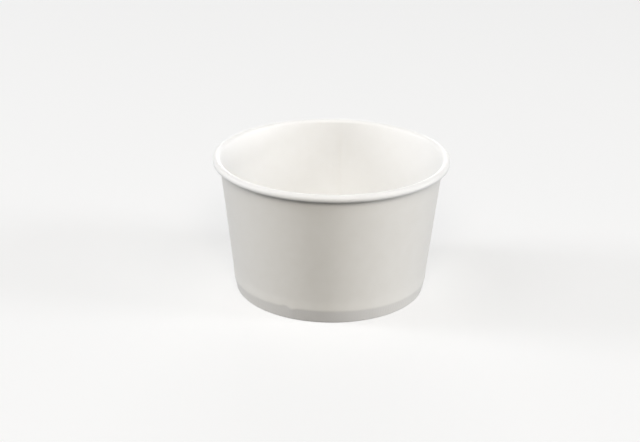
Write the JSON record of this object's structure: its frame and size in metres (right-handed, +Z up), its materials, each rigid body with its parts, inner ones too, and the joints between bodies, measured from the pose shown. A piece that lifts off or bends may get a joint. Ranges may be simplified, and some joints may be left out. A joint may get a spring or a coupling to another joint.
{
  "type": "paper food container",
  "caption": "Round white paper food tub, open at the top, with a tapered lapped sidewall, a rolled rim and a recessed bottom gripped by a folded hem.",
  "frame": {"origin": "middle of the foot, on the surface that the container stands on", "axes": "+Z up along the container's axis; the side seam is at the back, towards +Y"},
  "size_m": [0.096, 0.096, 0.0566],
  "materials": {
    "sidewall_board": "smooth coated white board, faint sheen",
    "bottom_board": "smooth coated white board, faint sheen"
  },
  "bodies": {
    "root": {"sidewall": "sidewall_board", "bottom": "bottom_board"}
  },
  "joints": []
}
